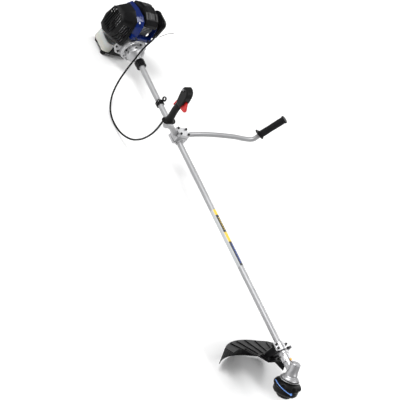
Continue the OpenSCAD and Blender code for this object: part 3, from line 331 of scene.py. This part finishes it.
# %% [markdown]
# ## The throttle cable
# The cable is a steel wire in a black sleeve. It leaves the carburettor, crosses the clutch housing,
# droops to the floor and rises into the throttle handle. A curve with a round bevel is the simplest
# honest shape for it, because its length can be measured along the curve.

# %% Throttle cable
CABLE_ROUTE = [
    (-137, 66, 102), (-118, 65, 102), (-98, 54, 100), (-78, 30, 94), (-58, 0, 80), (-34, -30, 56),
    (-4, -62, 34), (32, -100, -4), (72, -134, -56), (118, -158, -104), (176, -176, -132), (244, -188, -138),
    (318, -192, -126), (390, -200, -86), (444, -216, -24), (484, -242, 52), (508, -270, 118),
    (522, -294, 166), (530, -308, 196),
]
CABLE_D = 8.5 * MM
STEPS = 6


def smooth_path(points, steps=STEPS):
    """Catmull-Rom curve through the points."""
    path = []
    last = len(points) - 1
    for i in range(last):
        a, b, c, d = (Vector(points[min(max(k, 0), last)]) for k in (i - 1, i, i + 1, i + 2))
        for k in range(steps):
            t = k / steps
            path.append(0.5 * (2 * b + (c - a) * t + (2 * a - 5 * b + 4 * c - d) * t * t
                               + (3 * b - a - 3 * c + d) * t ** 3))
    return path + [Vector(points[-1])]


def length_of(path):
    return sum((b - a).length for a, b in zip(path, path[1:]))


cable_path = smooth_path([tool(*p) for p in CABLE_ROUTE])
cable_curve = bpy.data.curves.new("throttle_cable_sleeve", "CURVE")
cable_curve.dimensions = "3D"
cable_curve.bevel_depth = CABLE_D / 2
cable_curve.bevel_resolution = 4
cable_curve.use_fill_caps = True
spline = cable_curve.splines.new("POLY")
spline.points.add(len(cable_path) - 1)
for point, where in zip(spline.points, cable_path):
    point.co = (*where, 1)
cable = bpy.data.objects.new("throttle_cable_sleeve", cable_curve)
bpy.context.scene.collection.objects.link(cable)
cable_curve.materials.append(FINISH["rubber"])
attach(cable, "machine")
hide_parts("throttle_cable")
round(length_of(cable_path), 3)
print("cable length", round(length_of(cable_path), 3), "m")

# %% [markdown]
# ## Softer edges for moulded and cast pieces
# A CAD solid has perfectly sharp edges, and no moulding does. The surest way to round all the edges of
# a complicated solid is to rebuild its skin from small even cells, then relax that skin a little: edges
# become radii of about one cell, and flat walls stay flat. The CAD mesh is copied first, because the
# frame itself is never changed.


# %% Softening
def link(name, mesh, body, slot, *replaced):
    """A finished mesh becomes a piece that rides on a body."""
    obj = bpy.data.objects.new(name, mesh)
    bpy.context.scene.collection.objects.link(obj)
    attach(obj, body)
    if replaced:
        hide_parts(*replaced)
    return obj


def body_of_node(name):
    for body, names in frame["record"]["behaviour"]["bodies"].items():
        if name in names:
            return body
    return None


def merged_copy(name):
    """A CAD node's mesh with its loose triangles joined up."""
    mesh = NODES[name].data.copy()
    work = bmesh.new()
    work.from_mesh(mesh)
    bmesh.ops.remove_doubles(work, verts=work.verts, dist=0.005 * MM)
    work.to_mesh(mesh)
    work.free()
    mesh.materials.clear()
    return mesh


def settled(mesh, modifiers):
    """The mesh after the modifiers, as a plain mesh."""
    holder = bpy.data.objects.new("holder", mesh)
    bpy.context.scene.collection.objects.link(holder)
    for kind, values in modifiers:
        modifier = holder.modifiers.new(kind, kind)
        for key, value in values.items():
            setattr(modifier, key, value)
    bpy.context.view_layer.update()
    result = bpy.data.meshes.new_from_object(holder.evaluated_get(bpy.context.evaluated_depsgraph_get()))
    bpy.data.objects.remove(holder)
    for face in result.polygons:
        face.use_smooth = True
    return result


RELAX = 3


def soften(name, cell_mm):
    mesh = settled(merged_copy(name), [
        ("REMESH", {"mode": "VOXEL", "voxel_size": cell_mm * MM, "use_smooth_shade": True}),
        ("SMOOTH", {"factor": 0.5, "iterations": RELAX}),
    ])
    mesh.materials.append(FINISH[SLOTS[name]])
    obj = link(name + "_moulding", mesh, body_of_node(name), SLOTS[name], name)
    print(name, "softened to", len(mesh.polygons), "faces")
    return obj


SOFTENED = {
    "top_cover": 1.6, "filter_cover": 1.5, "fuel_tank": 1.8,
    "throttle_grip": 1.2, "throttle_trigger": 0.6, "trigger_lockout": 0.6, "tank_stand": 1.5,
    "spool_housing": 1.3, "bump_knob": 0.9, "gear_case": 1.0, "fan_housing": 1.5, "clutch_housing": 1.2,
    "starter_handle": 0.8, "tube_collar": 0.9, "hanger_clamp": 0.7, "handle_base": 0.9,
    "handle_saddle": 0.8, "handle_cap": 0.9, "blue_shroud": 1.3, "plug_cap": 0.6,
    "guard_bracket": 1.1, "bracket_cap": 0.8, "choke_lever": 0.6, "filter_knob": 0.7,
}
for node_name, cell in SOFTENED.items():
    soften(node_name, cell)

# %% [markdown]
# ## Crisp edges for the louvred guard
# Cells would blur the louvres. A bevel modifier only touches edges, so the slots stay crisp and each
# edge still gets a thin highlight.


# %% Bevelled pieces
def bevelled(name, width_mm):
    mesh = settled(merged_copy(name), [
        ("BEVEL", {"width": width_mm * MM, "segments": 2, "limit_method": "ANGLE",
                   "angle_limit": math.radians(25), "harden_normals": True}),
    ])
    mesh.materials.append(FINISH[SLOTS[name]])
    print(name, "bevelled to", len(mesh.polygons), "faces")
    return link(name + "_bevelled", mesh, body_of_node(name), SLOTS[name], name)


BEVELLED = {"muffler_guard": 0.8, "fuel_cap": 0.6, "primer_bulb": 0.4, "stop_switch": 0.4, "line_cutter": 0.3}
for node_name, width in BEVELLED.items():
    bevelled(node_name, width)

# %% [markdown]
# ## The handlebar
# Both arms are one bent tube. It is drawn through the middle points of its bends and swept as a curve,
# so that its shading is smooth all the way round.

# %% Handlebar
HANDLE = Vector((427, 0, 28))
GRIP_BASES = {1: (Vector((106, 294, 182)), Vector((0.07, 0.26, 0.96)), 132),
              -1: (Vector((112, -294, 182)), Vector((-0.1, -0.195, 0.975)), 64)}
ARM = [(0, 36, 0), (3, 60, 14), (28, 120, 56), (66, 206, 104), (91, 254, 127), (105, 280, 147)]


def arm_points(side):
    base, lean, reach = GRIP_BASES[side]
    lean = lean.normalized()
    points = [Vector((x, side * y, z)) for x, y, z in ARM]
    return points + [base + Vector((0, -side * 3, -10)), base + 12 * lean, base + reach * lean]


def swept_tube(name, paths, diameter, slot, body, *replaced):
    """A mesh tube along each path of points in the scene."""
    curve = bpy.data.curves.new(name, "CURVE")
    curve.dimensions = "3D"
    curve.bevel_depth = diameter / 2
    curve.bevel_resolution = 6
    curve.use_fill_caps = True
    for path in paths:
        stretch = curve.splines.new("POLY")
        stretch.points.add(len(path) - 1)
        for point, where in zip(stretch.points, path):
            point.co = (*where, 1)
    holder = bpy.data.objects.new("holder", curve)
    bpy.context.scene.collection.objects.link(holder)
    bpy.context.view_layer.update()
    mesh = bpy.data.meshes.new_from_object(holder.evaluated_get(bpy.context.evaluated_depsgraph_get()))
    bpy.data.objects.remove(holder)
    for face in mesh.polygons:
        face.use_smooth = True
    mesh.materials.clear()
    mesh.materials.append(FINISH[slot])
    print(name, len(mesh.polygons), "faces")
    return link(name, mesh, body, slot, *replaced)


BAR_D = 22 * MM
left_arm, right_arm = (smooth_path([tool(*(HANDLE + p)) for p in arm_points(side)]) for side in (1, -1))
whole_bar = list(reversed(right_arm)) + left_arm
swept_tube("bent_handlebar", [whole_bar], BAR_D, "tube_silver", "machine", "handlebar")

# %% [markdown]
# ## Rows and rings
# Slats, washers and screws repeat. Two small node groups make them: one places a box on every point of
# a line, the other a round piece on every point of a circle. Sizes are named inputs, and the seed that
# turns the pieces is fixed. The result becomes a plain mesh, and the modifier goes with its holder.


# %% Node groups
def new_group(name, inputs):
    group = bpy.data.node_groups.new(name, "GeometryNodeTree")
    group.interface.new_socket("Geometry", in_out="OUTPUT", socket_type="NodeSocketGeometry")
    for label, kind in inputs:
        group.interface.new_socket(label, in_out="INPUT", socket_type="NodeSocket" + kind)
    return group


def add(group, kind, settings=None, **links):
    """A node whose inputs are other nodes' outputs or plain values."""
    node = group.nodes.new(kind)
    for key, value in (settings or {}).items():
        setattr(node, key, value)
    for label, value in links.items():
        socket = node.inputs[label.replace("_", " ")]
        if isinstance(value, bpy.types.NodeSocket):
            group.links.new(value, socket)
        else:
            socket.default_value = value
    return node


def finish_group(group, points, piece, given, rotation=None):
    spread = add(group, "GeometryNodeInstanceOnPoints", None, Points=points, Instance=piece)
    if rotation is not None:
        group.links.new(rotation, spread.inputs["Rotation"])
    real = add(group, "GeometryNodeRealizeInstances", None, Geometry=spread.outputs[0])
    painted = add(group, "GeometryNodeSetMaterial", None, Geometry=real.outputs[0],
                  Material=given.outputs["Material"])
    add(group, "NodeGroupOutput", None, Geometry=painted.outputs[0])


row_group = new_group("row_of_slats", [("Count", "Int"), ("Step", "Vector"), ("Size", "Vector"),
                                       ("Material", "Material")])
given = row_group.nodes.new("NodeGroupInput")
line = add(row_group, "GeometryNodeMeshLine", {"mode": "OFFSET"}, Count=given.outputs["Count"],
           Offset=given.outputs["Step"])
box = add(row_group, "GeometryNodeMeshCube", None, Size=given.outputs["Size"])
finish_group(row_group, line.outputs[0], box.outputs[0], given)

ring_group = new_group("ring_of_heads", [("Count", "Int"), ("Ring Radius", "Float"), ("Sides", "Int"),
                                         ("Head Radius", "Float"), ("Height", "Float"), ("Seed", "Int"),
                                         ("Material", "Material")])
given = ring_group.nodes.new("NodeGroupInput")
circle = add(ring_group, "GeometryNodeMeshCircle", None, Vertices=given.outputs["Count"],
             Radius=given.outputs["Ring Radius"])
head = add(ring_group, "GeometryNodeMeshCylinder", None, Vertices=given.outputs["Sides"],
           Radius=given.outputs["Head Radius"], Depth=given.outputs["Height"])
chance = add(ring_group, "FunctionNodeRandomValue", {"data_type": "FLOAT"}, Seed=given.outputs["Seed"])
roll = add(ring_group, "ShaderNodeCombineXYZ", None, Z=chance.outputs[1])
finish_group(ring_group, circle.outputs[0], head.outputs[0], given, roll.outputs[0])


def repeated(name, group, place, slot, body, **values):
    """Runs a group once with the given inputs and links the plain mesh that comes out."""
    holder = bpy.data.objects.new("holder", bpy.data.meshes.new("empty"))
    bpy.context.scene.collection.objects.link(holder)
    modifier = holder.modifiers.new("repeat", "NODES")
    values["Material"] = FINISH[slot]
    identifiers = {item.name: item.identifier for item in group.interface.items_tree
                   if item.item_type == "SOCKET" and item.in_out == "INPUT"}
    for label, value in values.items():
        modifier[identifiers[label.replace("_", " ")]] = value
    modifier.node_group = group
    for label, value in values.items():
        modifier[identifiers[label.replace("_", " ")]] = value
    bpy.context.view_layer.update()
    mesh = bpy.data.meshes.new_from_object(holder.evaluated_get(bpy.context.evaluated_depsgraph_get()))
    holder.modifiers.remove(modifier)
    bpy.data.objects.remove(holder)
    mesh.transform(place)
    mesh.materials.clear()
    mesh.materials.append(FINISH[slot])
    print(name, len(mesh.polygons), "faces")
    return link(name, mesh, body, slot)


def at(x, y, z, turn_y=0, turn_x=0):
    """A place along the tool, turned first about Y and then about X, in degrees."""
    return TOOL @ (Matrix.Translation(Vector((x, y, z)) * MM) @ Matrix.Rotation(math.radians(turn_x), 4, "X")
                   @ Matrix.Rotation(math.radians(turn_y), 4, "Y"))


# %% Slats, washers and bosses
SLATS, SLAT_PITCH = 8, 13
first_slat = at(-190 - (SLATS - 1) / 2 * SLAT_PITCH, -142.4, 72)
repeated("guard_slats", row_group, first_slat, "black_plastic", "machine", Count=SLATS,
         Step=(SLAT_PITCH * MM, 0, 0), Size=(0.0024, 0.0026, 0.098))
repeated("clutch_washers", ring_group, at(-87.7, 0, 0, 90), "steel", "machine", Count=4, Ring_Radius=0.051,
         Sides=24, Head_Radius=0.0062, Height=0.0008, Seed=3)
repeated("clutch_rim_bosses", ring_group, at(-91, 0, 0, 90), "cast_aluminium", "machine", Count=12,
         Ring_Radius=0.0592, Sides=16, Head_Radius=0.0022, Height=0.007, Seed=5)
for side in (-1, 1):
    repeated("clamp_washers_" + ("left" if side > 0 else "right"), row_group,
             at(427 - 16, side * 24, 47.3), "steel", "machine", Count=2, Step=(0.032, 0, 0),
             Size=(0.012, 0.012, 0.0008))

# %% [markdown]
# ## Small hardware
# Two dark screws hold the blue shroud to the clutch housing, a pale rivet closes its band, and the loose
# end of a cable tie stands up behind the carburettor. They are short swept tubes, like the handlebar.

# %% Screws, rivet and tie
SCREW_D, RIVET_D, TIE_D = 8 * MM, 8 * MM, 2.4 * MM
screws = [[tool(-99, y, 76), tool(-93, y, 76)] for y in (-46.7, 31.4)]
swept_tube("shroud_screws", screws, SCREW_D, "black_steel", "machine")
swept_tube("band_rivet", [[tool(-122, -62, 142), tool(-119, -67.5, 146)]], RIVET_D, "steel", "machine")
tie_tail = smooth_path([tool(*p) for p in [(-88, 64, 118), (-79, 66, 140), (-66, 67, 166), (-41, 66, 198)]])
swept_tube("cable_tie_tail", [tie_tail], TIE_D, "rubber", "machine")

# %% [markdown]
# ## Studio
# The machine stands on a plain pale floor under large soft lights, with an even pale sky for the
# reflections in the metal.

# %% Floor and lights
floor_mesh = bpy.data.meshes.new("floor")
HALF_FLOOR = 30
floor_mesh.from_pydata([(-HALF_FLOOR, -HALF_FLOOR, 0), (HALF_FLOOR, -HALF_FLOOR, 0),
                        (HALF_FLOOR, HALF_FLOOR, 0), (-HALF_FLOOR, HALF_FLOOR, 0)], [], [(0, 1, 2, 3)])
floor = bpy.data.objects.new("floor", floor_mesh)
bpy.context.scene.collection.objects.link(floor)
floor_finish = Finish("pale floor")
floor_mesh.materials.append(floor_finish.set(Base_Color=rgb(0.86, 0.86, 0.86), Roughness=0.8))

# The sky is brightest overhead and darker at the horizon, so that round metal gets a darker edge
world = bpy.data.worlds.new("pale_sky")
world.use_nodes = True
sky = world.node_tree
background = sky.nodes["Background"]
background.inputs["Color"].default_value = rgb(1, 1, 1)
where_to = sky.nodes.new("ShaderNodeTexCoord")
parts = sky.nodes.new("ShaderNodeSeparateXYZ")
ramp = sky.nodes.new("ShaderNodeMapRange")
for socket, value in zip(ramp.inputs[1:5], (0.0, 0.9, 0.05, 0.60)):
    socket.default_value = value
sky.links.new(where_to.outputs["Generated"], parts.inputs[0])
sky.links.new(parts.outputs["Z"], ramp.inputs["Value"])
sky.links.new(ramp.outputs[0], background.inputs["Strength"])
bpy.context.scene.world = world


def soft_light(name, where, size, power):
    data = bpy.data.lights.new(name, "AREA")
    data.shape, data.size, data.energy = "SQUARE", size, power
    lamp = bpy.data.objects.new(name, data)
    bpy.context.scene.collection.objects.link(lamp)
    lamp.location = where
    lamp.rotation_euler = (-Vector(where)).to_track_quat("-Z", "Y").to_euler()


soft_light("key_light", (-1.5, -3.2, 4.0), 2.2, 250)
soft_light("front_light", (3.5, 1.5, 3.4), 2.6, 80)
soft_light("back_light", (-1.6, 4.0, 3.0), 2.4, 110)
bpy.context.scene.view_settings.view_transform = "Standard"
